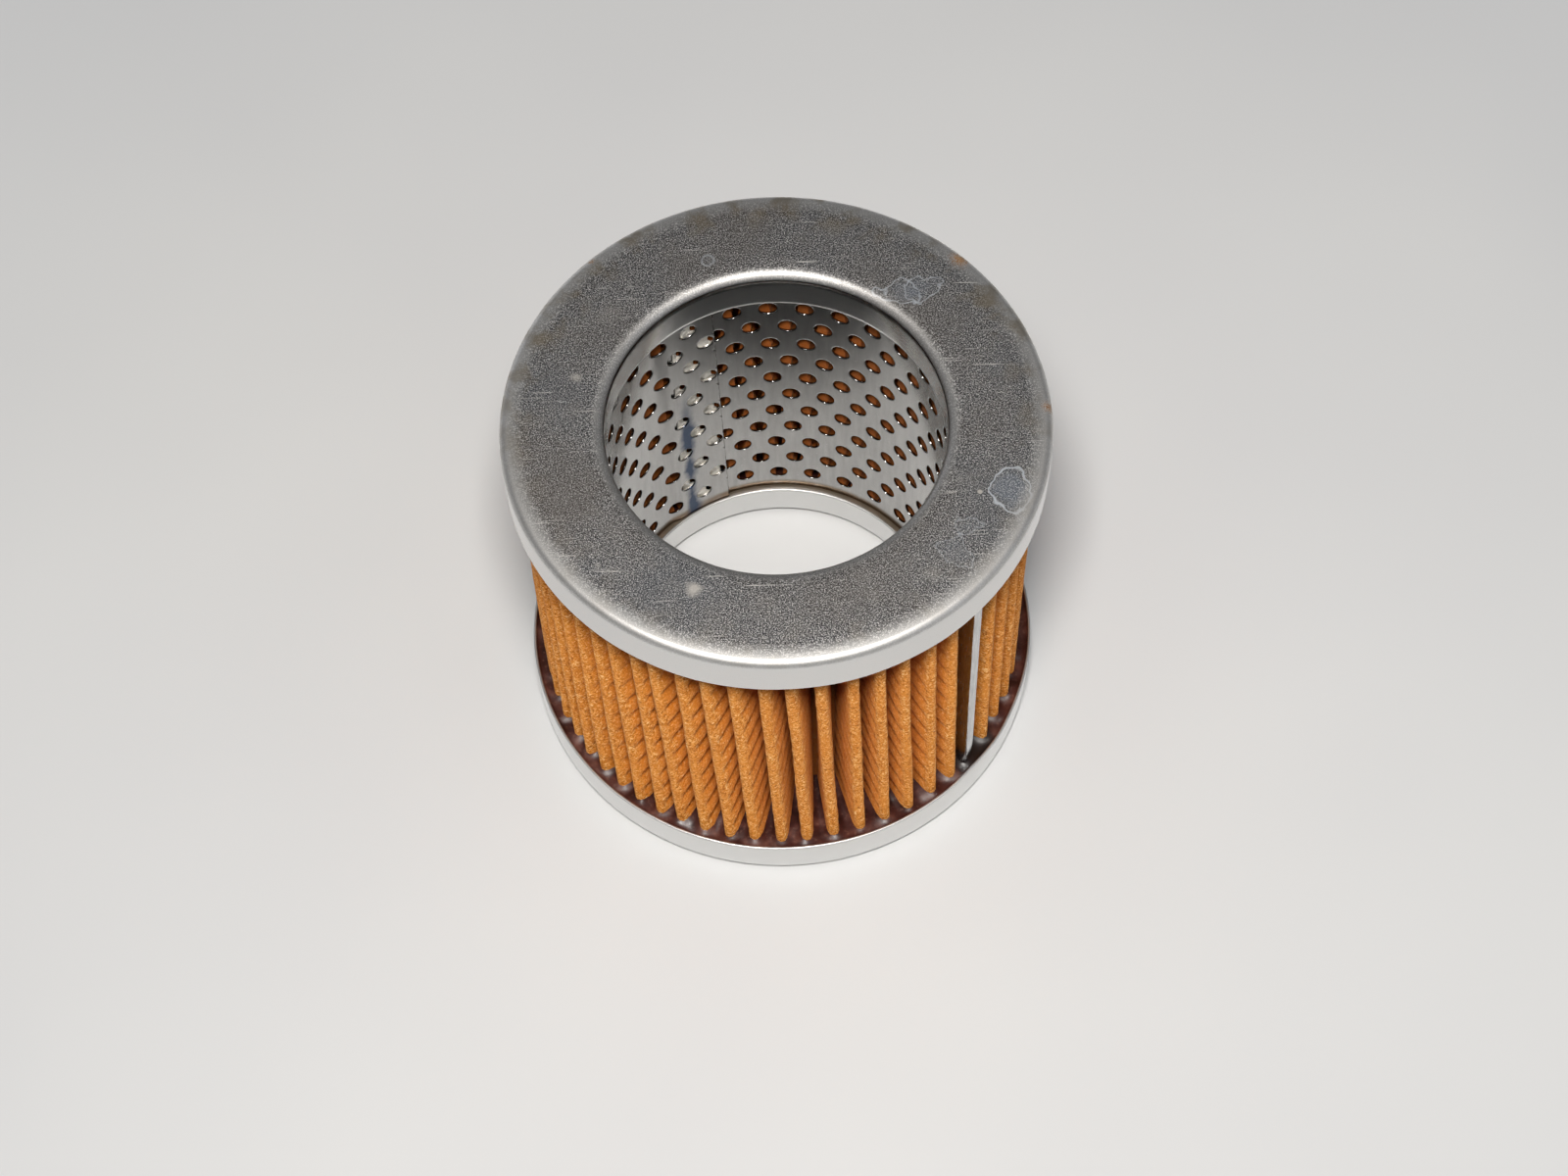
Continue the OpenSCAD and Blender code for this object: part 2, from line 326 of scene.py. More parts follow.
def tinplate_cap_material():
    # Electrolytic tinplate, pressed from matt-rolled sheet: a dull grey face that glitters
    # in fine specks, with handling scuffs, dried drops and rust flecks at the outer corner.
    # The die drew the walls smooth, so they are bright and mirror what stands near them.
    material, tree, shader, where = new_material("pressed_matt_tinplate")
    radius = axis_distance(tree, where)
    place = add(tree, "ShaderNodeSeparateXYZ", {"Vector": where})
    # rolled grain, drawn coarser than the real 0.05 mm so that it shows
    fine = add(tree, "ShaderNodeTexNoise",
               {"Vector": where, "Scale": lumps_of(0.11), "Detail": 2.0, "Roughness": 0.8})
    mottled = add(tree, "ShaderNodeTexNoise",
                  {"Vector": where, "Scale": lumps_of(2.5), "Detail": 5.0, "Roughness": 0.6})
    cloudy = add(tree, "ShaderNodeTexNoise",
                 {"Vector": where, "Scale": lumps_of(13.0), "Detail": 3.0, "Roughness": 0.55})
    lumps = add(tree, "ShaderNodeTexNoise",
                {"Vector": where, "Scale": lumps_of(2.2), "Detail": 2.0, "Roughness": 0.5})
    face = add(tree, "ShaderNodeValToRGB", {0: fine},
               stops=((0.38, "242426"), (0.46, "5f5e5f"), (0.54, "8b8a89"), (0.63, "fbf9f7")))
    # the walls and their lips lie nearer the middle of the height than the faces do
    inward = add(tree, "ShaderNodeMath", {0: place.outputs["Z"], 1: height / 2 * MM},
                 operation="SUBTRACT")
    inward = add(tree, "ShaderNodeMath", {0: inward}, operation="ABSOLUTE")
    walls = add(tree, "ShaderNodeMapRange",
                {"Value": inward, "From Min": (height / 2 - 1.0) * MM,
                 "From Max": (height / 2 - 1.5) * MM})
    # a collar is shorter than a skirt, so its sheared lip lies that much nearer its face
    by_bore = add(tree, "ShaderNodeMapRange",
                  {"Value": radius, "From Min": (bore_r + 3.0) * MM,
                   "From Max": (bore_r + 2.0) * MM, "To Max": (collar_h - skirt_h) * MM})
    lip_at = add(tree, "ShaderNodeMath", {0: inward, 1: by_bore}, operation="ADD")
    lips = add(tree, "ShaderNodeMapRange",
               {"Value": lip_at, "From Min": (height / 2 - skirt_h + lip_round + 0.14) * MM,
                "From Max": (height / 2 - skirt_h + lip_round) * MM, "To Max": 0.30})
    outer_corner = add(tree, "ShaderNodeMapRange",
                       {"Value": radius, "From Min": (cap_r - 4.0) * MM,
                        "From Max": (cap_r - 1.0) * MM})
    inner_corner = add(tree, "ShaderNodeMapRange",
                       {"Value": radius, "From Min": (bore_r + 2.4) * MM,
                        "From Max": (bore_r + 0.9) * MM, "To Max": 0.7})
    corners = add(tree, "ShaderNodeMath", {0: outer_corner, 1: inner_corner},
                  operation="MAXIMUM")
    # faint brown and bluish tarnish, and pale smears
    layers = tints(tree, (cloudy, 0.50, 0.68, 0.28, "7c7166"),
                   (cloudy, 0.50, 0.34, 0.25, "68707a"), (mottled, 0.52, 0.72, 0.25, "a6a19b"))
    layers += handling_marks(tree, where, lumps)
    # grime and thin rust held along the outer edge, most of it on the far side
    far_side = add(tree, "ShaderNodeMapRange",
                   {"Value": place.outputs["Y"], "From Min": -12.0 * MM, "From Max": 18.0 * MM,
                    "To Min": 0.12, "To Max": 0.60})
    speckled = add(tree, "ShaderNodeMapRange",
                   {"Value": mottled, "From Min": 0.47, "From Max": 0.62, "To Max": far_side})
    rim_band = add(tree, "ShaderNodeMapRange",
                   {"Value": radius, "From Min": (cap_r - 8.0) * MM,
                    "From Max": (cap_r - 3.0) * MM})
    dusty = add(tree, "ShaderNodeMath", {0: speckled, 1: rim_band}, operation="MULTIPLY")
    rust = add(tree, "ShaderNodeValToRGB", {0: fine}, stops=((0.3, "6b4326"), (0.7, "b08a5c")))
    # the corners, fading out over the last 4 mm of the face, are painted lighter: partly polish
    # from wear, partly painted highlight
    polish_and_highlight = add(tree, "ShaderNodeMath", {0: corners, 1: 0.8}, operation="MULTIPLY")
    layers += [(polish_and_highlight, tone("e2e0dd")), (dusty, tone("8f8168")), (walls, tone("d9d9d8"))]
    rusted = None
    for *centre, size in rust_spots:
        spot = patch(tree, where, fine, centre, 3.2 * size, 0.8 * size, 0.5 * size, 0.95)
        rusted = spot if rusted is None else add(tree, "ShaderNodeMath", {0: rusted, 1: spot},
                                                 operation="MAXIMUM")
    layers.append((rusted, rust))
    metal = add(tree, "ShaderNodeMapRange", {"Value": rusted, "To Min": 1.0, "To Max": 0.2})
    matt = add(tree, "ShaderNodeMapRange",
               {"Value": fine, "From Min": 0.35, "From Max": 0.65, "To Min": 0.62,
                "To Max": 0.52})
    satin = add(tree, "ShaderNodeMix", {"Factor": corners, "A": matt, "B": 0.50},
                data_type="FLOAT")
    rough = add(tree, "ShaderNodeMix", {"Factor": walls, "A": satin, "B": 0.14},
                data_type="FLOAT")
    rough = add(tree, "ShaderNodeMath", {0: rough, 1: lips}, operation="ADD")
    calm = add(tree, "ShaderNodeMath", {0: 1.0, 1: corners}, operation="SUBTRACT")
    grit = add(tree, "ShaderNodeMath", {0: fine, 1: calm}, operation="MULTIPLY")
    glitter = add(tree, "ShaderNodeBump", {"Height": grit, "Distance": 0.02 * MM})
    uneven = add(tree, "ShaderNodeBump",
                 {"Height": mottled, "Distance": 0.02 * MM, "Strength": 0.6, "Normal": glitter})
    connect(tree, shader, {"Base Color": layered(tree, face, layers), "Metallic": metal,
                           "Roughness": rough, "Normal": uneven})
    return material


def core_sheet_material():
    # Punched tinplate coil: bright and smooth, with a faint rolling grain, a brown band
    # just above the lower potting, and a dark blue streak down the lap.
    material, tree, shader, where = new_material("punched_bright_tinplate")
    up = add(tree, "ShaderNodeSeparateXYZ", {"Vector": where}).outputs["Z"]
    radius = axis_distance(tree, where)
    drawn = add(tree, "ShaderNodeMapping", {"Vector": where, "Scale": (1, 1, 0.12)})
    rolled = add(tree, "ShaderNodeTexNoise",
                 {"Vector": drawn, "Scale": lumps_of(0.5), "Detail": 3.0, "Roughness": 0.6})
    specks = add(tree, "ShaderNodeTexNoise",
                 {"Vector": where, "Scale": lumps_of(0.18), "Detail": 2.0, "Roughness": 0.7})
    cloudy = add(tree, "ShaderNodeTexNoise",
                 {"Vector": where, "Scale": lumps_of(3.2), "Detail": 4.0, "Roughness": 0.6})
    sheet = add(tree, "ShaderNodeValToRGB", {0: rolled},
                stops=((0.25, "9b9a99"), (0.75, "b1b0ae")))
    # faint stains, and bright specks
    layers = tints(tree, (cloudy, 0.50, 0.75, 0.22, "8f8b86"),
                   (specks, 0.66, 0.76, 0.6, "eeece8"))
    # a brown band just above the lower potting, stronger in patches
    low = add(tree, "ShaderNodeMapRange",
              {"Value": up, "From Min": 10.6 * MM, "From Max": 9.6 * MM})
    band_patches = add(tree, "ShaderNodeMapRange",
               {"Value": cloudy, "From Min": 0.30, "From Max": 0.50, "To Min": 0.35,
                "To Max": 0.85})
    brown_band = add(tree, "ShaderNodeMath", {0: low, 1: band_patches}, operation="MULTIPLY")
    # a dark blue streak runs down the lap, from about half height to the lower potting
    streak_foot = (-16.1, 24.3, 0.0)
    flat = add(tree, "ShaderNodeVectorMath", {0: where, 1: (1, 1, 0)}, operation="MULTIPLY")
    line = patch(tree, flat, cloudy, streak_foot, 5.0, 1.7, 1.4, 0.95)
    below = add(tree, "ShaderNodeMapRange",
                {"Value": up, "From Min": 50.0 * MM, "From Max": 38.0 * MM})
    blue_streak = add(tree, "ShaderNodeMath", {0: line, 1: below}, operation="MULTIPLY")
    # the outer layer of the lap, seen through the inner layer's holes: painted highlight, near
    # white, less metallic and rougher, with dents
    lap_middle = (-14.4, 26.0, 0.0)
    in_lap = patch(tree, flat, cloudy, lap_middle, 0.0, 4.3, 0.3, 1.0)
    outer = add(tree, "ShaderNodeMapRange",
                {"Value": radius, "From Min": (core_r - core_sheet - 0.2) * MM,
                 "From Max": (core_r - core_sheet - 0.1) * MM})
    lap_highlight = add(tree, "ShaderNodeMath", {0: in_lap, 1: outer}, operation="MULTIPLY")
    # the lap's near-white is painted highlight
    layers += [(brown_band, tone("745a3c")), (blue_streak, tone("1c3350")), (lap_highlight, tone("fbf7ee"))]
    coloured = layered(tree, sheet, layers)
    metal = add(tree, "ShaderNodeMapRange", {"Value": lap_highlight, "To Min": 1.0, "To Max": 0.5})
    satin = add(tree, "ShaderNodeMapRange",
                {"Value": rolled, "From Min": 0.25, "From Max": 0.75, "To Min": 0.15,
                 "To Max": 0.23})
    rough = add(tree, "ShaderNodeMix", {"Factor": lap_highlight, "A": satin, "B": 0.38},
                data_type="FLOAT")
    grain = add(tree, "ShaderNodeBump",
                {"Height": rolled, "Distance": 0.006 * MM, "Strength": 0.5})
    dents = add(tree, "ShaderNodeTexNoise",
                {"Vector": where, "Scale": lumps_of(0.7), "Detail": 1.0, "Roughness": 0.5})
    dented = add(tree, "ShaderNodeMath", {0: dents, 1: lap_highlight}, operation="MULTIPLY")
    knocked = add(tree, "ShaderNodeBump",
                  {"Height": dented, "Distance": 1.4 * MM, "Normal": grain})
    connect(tree, shader, {"Base Color": coloured, "Metallic": metal, "Roughness": rough,
                           "Normal": knocked})
    return material


def filter_paper_material():
    # Cellulose filter paper cured with phenolic resin: orange-brown, matt and fibrous,
    # with pale lint; darker and redder down in the folds as painted shade.
    material, tree, shader, where = new_material("resin_cured_filter_paper")
    fibres = add(tree, "ShaderNodeTexNoise",
                 {"Vector": where, "Scale": lumps_of(0.24), "Detail": 4.0, "Roughness": 0.75,
                  "Distortion": 0.6})
    felt = add(tree, "ShaderNodeTexNoise",
               {"Vector": where, "Scale": lumps_of(0.8), "Detail": 3.0, "Roughness": 0.6})
    pooled = add(tree, "ShaderNodeTexNoise",
                 {"Vector": where, "Scale": lumps_of(5.0), "Detail": 3.0, "Roughness": 0.5})
    pulp = add(tree, "ShaderNodeValToRGB", {0: fibres},
               stops=((0.35, "7d3c0a"), (0.45, "c97820"), (0.55, "e59c42"), (0.65, "ffe3a6")))
    radius = axis_distance(tree, where)
    # clumps and pooled resin, deeper orange legs, then painted shade between them and at the
    # inner folds
    coloured = layered(tree, pulp, tints(
        tree, (felt, 0.42, 0.66, 0.45, "cb7825"), (pooled, 0.45, 0.70, 0.35, "e29034"),
        (radius, (tip_r - 0.9) * MM, (tip_r - 2.0) * MM, 0.40, "dc7e1a"),
        (radius, (tip_r - 1.5) * MM, (tip_r - 6.0) * MM, 0.50, "cf6a16"),
        (radius, (root_r + 3.2) * MM, (root_r + 0.8) * MM, 0.72, "6e3510")))
    woolly = add(tree, "ShaderNodeBump", {"Height": fibres, "Distance": 0.10 * MM})
    soft = add(tree, "ShaderNodeBump",
               {"Height": felt, "Distance": 0.14 * MM, "Strength": 0.6, "Normal": woolly})
    connect(tree, shader, {"Base Color": coloured, "Normal": soft, "Roughness": 0.9,
                           "Diffuse Roughness": 0.8, "Specular IOR Level": 0.15,
                           "Sheen Weight": 0.05, "Sheen Roughness": 0.5})
    return material


def clip_steel_material():
    # Bright tinned steel strip, folded cold: nearly a mirror along its face, with fine
    # drawing lines along its length.
    material, tree, shader, where = new_material("folded_tinned_strip")
    along = add(tree, "ShaderNodeMapping", {"Vector": where, "Scale": (1, 1, 0.05)})
    drawn = add(tree, "ShaderNodeTexNoise",
                {"Vector": along, "Scale": lumps_of(0.12), "Detail": 2.0, "Roughness": 0.6})
    tin = add(tree, "ShaderNodeValToRGB", {0: drawn}, stops=((0.3, "b4b6b8"), (0.7, "d6d7d8")))
    rough = add(tree, "ShaderNodeMapRange",
                {"Value": drawn, "From Min": 0.3, "From Max": 0.7, "To Min": 0.16,
                 "To Max": 0.28})
    lines = add(tree, "ShaderNodeBump",
                {"Height": drawn, "Distance": 0.01 * MM, "Strength": 0.5})
    connect(tree, shader, {"Base Color": tin, "Metallic": 1.0, "Roughness": rough,
                           "Normal": lines})
    return material


def plastisol_material():
    # Heat-cured plastisol: dark maroon with a satin skin, poured by hand so it pools
    # unevenly, dusty in places and nearly black in a patch beside the clip.
    material, tree, shader, where = new_material("cured_brown_plastisol")
    cloudy = add(tree, "ShaderNodeTexNoise",
                 {"Vector": where, "Scale": lumps_of(1.8), "Detail": 4.0, "Roughness": 0.6})
    fine = add(tree, "ShaderNodeTexNoise",
               {"Vector": where, "Scale": lumps_of(0.4), "Detail": 3.0, "Roughness": 0.6})
    skin = add(tree, "ShaderNodeValToRGB", {0: cloudy},
               stops=((0.32, "2b110c"), (0.52, "46211a"), (0.72, "6b3f32")))
    dust = add(tree, "ShaderNodeMapRange",
               {"Value": fine, "From Min": 0.56, "From Max": 0.70, "To Max": 0.3})
    # nearly black in a patch beside the clip
    by_clip = ring_point(43.5, clip_at + 3.0, potting_level) / MM
    dark_by_clip = patch(tree, where, cloudy, by_clip, 4.0, 7.5, 4.0, 0.9)
    grimed = add(tree, "ShaderNodeMapRange",
                 {"Value": axis_distance(tree, where), "From Min": (pattern_r + 0.2) * MM,
                  "From Max": pattern_r * MM, "To Max": 0.75})
    rough = add(tree, "ShaderNodeMapRange",
                {"Value": cloudy, "From Min": 0.3, "From Max": 0.7, "To Min": 0.30,
                 "To Max": 0.50})
    skinned = add(tree, "ShaderNodeBump",
                  {"Height": cloudy, "Distance": 0.16 * MM, "Strength": 0.6})
    coloured = layered(tree, skin, [
        (dust, tone("8b6455")), (dark_by_clip, tone("17110f")), (grimed, tone("5c5546"))])
    connect(tree, shader, {"Base Color": coloured, "Roughness": rough, "IOR": 1.52,
                           "Normal": skinned})
    return material


def floor_material():
    # A plain pale painted floor, matt. Far from the element, where the lamps do not reach,
    # the eye and mirrors see it evenly pale, as a lit studio floor is.
    material, tree, shader, where = new_material("pale_matt_floor")
    uneven = add(tree, "ShaderNodeTexNoise", {"Vector": where, "Scale": lumps_of(60.0)})
    paint = add(tree, "ShaderNodeValToRGB", {0: uneven}, stops=((0.3, "d8d9da"), (0.7, "dedfdf")))
    connect(tree, shader, {"Base Color": paint, "Roughness": 0.8})
    ray = add(tree, "ShaderNodeLightPath")
    seen = add(tree, "ShaderNodeMath", {0: ray.outputs["Is Camera Ray"],
                                        1: ray.outputs["Is Glossy Ray"]}, operation="MAXIMUM")
    far = add(tree, "ShaderNodeMapRange",
              {"Value": axis_distance(tree, where), "From Min": 0.15, "From Max": 0.50})
    pale = add(tree, "ShaderNodeMath", {0: seen, 1: far}, operation="MULTIPLY")
    glow = add(tree, "ShaderNodeEmission", {"Color": tone("cfd0d1"), "Strength": 1.0})
    both = add(tree, "ShaderNodeMixShader",
               {0: pale, 1: shader.outputs["BSDF"], 2: glow.outputs["Emission"]})
    tree.links.new(both.outputs["Shader"], tree.nodes["Material Output"].inputs["Surface"])
    return material


# ---- pressed end caps
# how far the face has dropped at each corner, and how wide a band of it rolls off
rim_roll = 0.34
rim_roll_w = 5.0
bore_roll = 0.16
bore_roll_w = 4.0
# where the walls start to wander, and how far the skirt leans in at its lip
wall_foot = 1.5
skirt_lean = 0.05


def ring_edges(bm, radius, z, slack=0.02):
    """The edges of a spun shape that run round it at one radius and height."""
    found = []
    for edge in bm.edges:
        if all(abs(polar_of(v.co)[0] - radius) < slack and abs(v.co.z / MM - z) < slack
               for v in edge.verts):
            found.append(edge)
    return found


def make_cap(name, material, top):
    """A pressed cap, face down as the lower one lies; the top one is turned over."""
    bm = bmesh.new()
    spun(bm, ((bore_r, collar_h), (bore_r, 0), (cap_r, 0), (cap_r, skirt_h),
              (cap_r - sheet_t, skirt_h), (cap_r - sheet_t, sheet_t),
              (bore_r + sheet_t, sheet_t), (bore_r + sheet_t, collar_h)), 288)
    # each bend: radius and height of the sharp edge, bend radius, segments
    bends = ((bore_r, 0, bore_corner, 7), (cap_r, 0, rim_corner, 6),
             (cap_r - sheet_t, sheet_t, rim_corner - sheet_t, 3),
             (bore_r + sheet_t, sheet_t, bore_corner - sheet_t, 3),
             (cap_r, skirt_h, lip_round, 3), (cap_r - sheet_t, skirt_h, lip_round, 3),
             (bore_r, collar_h, lip_round, 3), (bore_r + sheet_t, collar_h, lip_round, 3))
    for radius, z, offset, segments in bends:
        bmesh.ops.bevel(bm, geom=ring_edges(bm, radius, z), offset=offset * MM,
                        offset_type="OFFSET", segments=segments, profile=0.5,
                        affect="EDGES", material=-1)
    # rings part way up the walls and across the face, so that both can bow a little
    long_edges = [e for e in bm.edges if e.calc_length() > 3 * MM]
    bmesh.ops.subdivide_edges(bm, edges=long_edges, cuts=8, use_grid_fill=True)
    seed = 3.0 if top else 8.0
    for vert in bm.verts:
        r, a, z = polar_of(vert.co)
        # a wall wanders most at its lip and not at all where it leaves the face
        lift = max(0.0, (z - wall_foot) / (skirt_h - wall_foot)) ** 1.5
        wave = 0.16 * round_ripple(a, 1.3, seed) + 0.07 * round_ripple(a, 5.0, seed + 1)
        if r > (cap_r + bore_r) / 2:
            # the lower rim is knocked in beside the clip, and bulges just past the knock
            if not top:
                wave -= 0.22 * hump(a, 47, 5.0)
                wave += 0.12 * hump(a, 58, 4.0)
            push = wave * lift - skirt_lean * lift
            z_push = 0.10 * lift * round_ripple(a, 3.0, seed + 2)
        else:
            push = 0.03 * round_ripple(a, 2.0, seed + 4) * lift
            z_push = 0.05 * lift * round_ripple(a, 4.0, seed + 5)
        # the face rolls off gently before each corner
        outer_roll = max(0.0, (r - cap_r + rim_roll_w) / rim_roll_w) ** 2
        inner_roll = max(0.0, (bore_r + bore_roll_w - r) / bore_roll_w) ** 2
        drop = (rim_roll * outer_roll + bore_roll * inner_roll) * max(0.0, 1 - z / skirt_h)
        vert.co = ring_point(r + push, a, z + drop + min(z_push, 0.0))
    if top:
        turn_over(bm)
    node = "top_end_cap" if top else "bottom_end_cap"
    return place_piece(bm, name, material, "cap_steel", node, limit=35)


# ---- punched core tube
# stock sheet: holes of 1/8 inch in rows set off by half their 1/4 inch spacing
hole_r = 3.175 / 2
hole_pitch = 6.35
row_step = hole_pitch * math.sin(math.radians(60))
rows = 11
# the punched rows stand 1 mm above the middle of the height
top_row_z = height / 2 + 1.0 + (rows - 1) / 2 * row_step
pattern_r = core_r - core_sheet
column_step = hole_pitch / 2
# angles on the tube run clockwise from +Y, seen from above
lap_edge = -19.8
lap_turns = math.degrees(9.8 / pattern_r)
joggle_turns = math.degrees(2.9 / pattern_r)
# the rim of each hole is rolled in by this much, over these two rings round it
rolled_in = 0.06
rim_rings = (0.13, 0.40)
# points of neighbouring patches this close are one point
merge_dist = 0.02
# degrees that each mm of height turns the tube, askew as the real one is
skew_rate = -0.0385


def punched_cell(bm, punched):
    """One hole in its patch of sheet, one pitch wide and one row high, with a rolled-in edge."""
    made = bmesh.ops.create_circle(bm, cap_ends=not punched, segments=20, radius=hole_r * MM)
    rim = made["verts"]
    for vert in rim:
        vert.co.z = -rolled_in * MM if punched else 0.0
    edges = [e for e in bm.edges if e.verts[0] in rim and e.verts[1] in rim]
    for spread in rim_rings:
        verts, edges = extruded(bm, edges)
        for vert in verts:
            vert.co = vert.co.xy.normalized().to_3d() * (hole_r + spread) * MM
    verts = extruded(bm, edges)[0]
    # the 20 outermost points go to the patch's border: 8 steps along it, 2 up each side
    half_w, half_h = hole_pitch / 2, row_step / 2
    order = sorted(verts, key=lambda v: math.atan2(v.co.y, v.co.x) % TURN)
    border = [(half_w, 0), (half_w, half_h)]
    border += [(half_w - hole_pitch * k / 8, half_h) for k in range(1, 9)]
    border += [(-half_w, 0), (-half_w, -half_h)]
    border += [(-half_w + hole_pitch * k / 8, -half_h) for k in range(1, 9)]
    for vert, (x, y) in zip(order, border):
        vert.co = Vector((x, y, 0)) * MM


def tube_radius(turn):
    """Radius of the sheet's inner face: the strip steps in where it passes under its own end."""
    lap_start = 360 + lap_edge - lap_turns
    joggle_start = lap_start - joggle_turns
    along = min(1.0, max(0.0, (turn - joggle_start) / joggle_turns))
    return pattern_r - lap_step * along * along * (3 - 2 * along)


def cell_mesh(punched):
    """A patch of sheet as a mesh whose faces look along +Z."""
    bm = bmesh.new()
    punched_cell(bm, punched)
    bmesh.ops.recalc_face_normals(bm, faces=bm.faces[:])
    if sum(f.normal.z for f in bm.faces) < 0:
        bmesh.ops.reverse_faces(bm, faces=bm.faces[:])
    mesh = bpy.data.meshes.new("cell")
    bm.to_mesh(mesh)
    bm.free()
    return mesh


def make_core_tube(material):
    """A flat strip of patches, x along the strip and y up it, then rolled up."""
    bm = bmesh.new()
    cells = {punched: cell_mesh(punched) for punched in (True, False)}
    low_turn = lap_edge - lap_turns + 0.5
    high_turn = 360 + lap_edge
    per_column = math.degrees(column_step / pattern_r)
    # column 0 is nearest the inner free edge; they count back round the tube
    edge_web = math.degrees((hole_r + 0.25) / pattern_r)
    count = int((high_turn - low_turn - 2 * edge_web) / per_column)
    for row in range(rows):
        z = top_row_z - row * row_step
        for column in range(-2 + (row + 1) % 2, count + 4, 2):
            bm.verts.ensure_lookup_table()
            before = len(bm.verts)
            bm.from_mesh(cells[0 <= column <= count])
            bm.verts.ensure_lookup_table()
            turn = high_turn - edge_web - column * per_column
            shift = Vector((math.radians(turn) * pattern_r, z, 0)) * MM
            bmesh.ops.translate(bm, vec=shift, verts=bm.verts[before:])
    for mesh in cells.values():
        bpy.data.meshes.remove(mesh)
    bmesh.ops.remove_doubles(bm, verts=bm.verts[:], dist=merge_dist * MM)
    # plain margins above and below the punched rows
    for edge_z, end in ((top_row_z + row_step / 2, core_high.z),
                        (top_row_z - (rows - 0.5) * row_step, core_low.z)):
        for stop in ((edge_z + end) / 2, end):
            rim = [e for e in bm.edges if e.is_boundary
                   and all(abs(v.co.y / MM - edge_z) < 0.05 for v in e.verts)]
            for vert in extruded(bm, rim)[0]:
                vert.co.y = stop * MM
            edge_z = stop
    # cut the strip to length
    for turn, way in ((low_turn, -1), (high_turn, 1)):
        bmesh.ops.bisect_plane(bm, geom=bm.verts[:] + bm.edges[:] + bm.faces[:],
                               plane_co=Vector((math.radians(turn) * pattern_r * MM, 0, 0)),
                               plane_no=Vector((way, 0, 0)), clear_outer=True)
    bmesh.ops.remove_doubles(bm, verts=bm.verts[:], dist=merge_dist * MM)
    # roll it up, slightly askew
    for vert in bm.verts:
        turn = math.degrees(vert.co.x / (pattern_r * MM))
        z = vert.co.y / MM
        radius = tube_radius(turn) - vert.co.z / MM
        skew = skew_rate * (z - height / 2)
        vert.co = ring_point(radius, 180 - (turn + skew), z)
    bmesh.ops.recalc_face_normals(bm, faces=bm.faces[:])
    face = bm.faces[0]
    middle = face.calc_center_median()
    if face.normal.dot(Vector((middle.x, middle.y, 0))) > 0:
        bmesh.ops.reverse_faces(bm, faces=bm.faces[:])
    piece = place_piece(bm, "punched_core_tube", material, "core_steel", "core_tube",
                        limit=50, recalc=False)
    wall = piece.modifiers.new("sheet", "SOLIDIFY")
    wall.thickness = core_sheet * MM
    wall.offset = -1
    wall.use_even_offset = False
    return piece


# ---- pleated paper
pleats = 58
pitch = 360 / pleats
paper_t = 0.5
fold_out = (1.95 - paper_t) / 2
fold_in = (1.8 - paper_t) / 2
seam_bend = (paper_t + 0.1) / 2
ridge_rise = 0.25
# the ridges are nearly ironed out over the outer folds, and start this far down the legs
ridge_start = 1.0
ridge_levels = 92
# how much of the ridges shows where the paper bends or is gripped; on the legs it is all
shows_on_root = 0.8
shows_beside_tip = 0.10
shows_in_clip = 0.3
# steps round each outer fold
fold_steps = 4
# how deep the seam's grip on the paper goes
seam_depth = 6.9


def pleat_shift(k):
    """How far pleat k sits from even spacing, tight on two sides and loose between."""
    a = clip_at + k * pitch
    return 0.8 - 1.6 * math.cos(math.radians(2 * (a + 5))) + 0.55 * ripple(k * 0.9, seed=1)


def up_the_paper(z):
    """Height as a share of the open paper: 0 at the lower potting, 1 at the upper."""
    return (z - potting_level) / (height - 2 * potting_level)


def crispness(degrees):
    """How much of the ridges is left: most where the pleats stand open, near the front."""
    return 0.75 + 0.60 * hump(from_front(degrees), -22, 18)


def tip_angle(k, z):
    """Angle of pleat k's outer fold: it leans more as it climbs, most of all near the front."""
    f = up_the_paper(z)
    a = clip_at + k * pitch
    twist = 2.9 + 1.2 * ripple(k * 0.7, seed=2) + 0.9 * hump(from_front(a), -22, 22)
    wander = 0.35 * ripple(k * 1.7, z / 26, seed=3) * max(0.0, 1 - (2 * f - 1) ** 2)
    return a + pleat_shift(k) - twist * f + wander


def root_angle(k):
    """Angle of the inner fold that follows pleat k, leaning most near the front."""
    between = (pleat_shift(k) + pleat_shift(k + 1)) / 2
    lean = 0.9 + 1.7 * hump(from_front(clip_at + k * pitch), -7, 16)
    lean += 0.2 * ripple(k * 1.3, seed=4)
    return clip_at + (k + 0.5) * pitch + between + lean


def flat_point(radius, degrees):
    """Like ring_point, in the plane and in millimetres."""
    a = math.radians(degrees)
    return Vector((radius * math.sin(a), -radius * math.cos(a)))


def turned(angle):
    """The direction at an angle in radians from +X."""
    return Vector((math.cos(angle), math.sin(angle)))


def angle_near(angle, other):
    """The same direction, written within half a turn of another one."""
    return other + (angle - other + math.pi) % TURN - math.pi


def seam_tuck(z):
    """How far, from 0 to 1, the clipped seam is tucked in where it enters the lower potting."""
    return max(0.0, 1 - max(0.0, z - potting_level) / 9) ** 2


def seam_geometry(z):
    """The seam's inner and outer ends at one height, and the directions along and across it."""
    tip = clip_at - 0.4 - 1.0 * up_the_paper(z)
    outer = flat_point(tip_r + 0.1 - 0.75 * seam_tuck(z), tip)
    inner = flat_point(tip_r - seam_depth, tip + 1.0)
    along = (outer - inner).normalized()
    return inner, outer, along, Vector((-along.y, along.x))


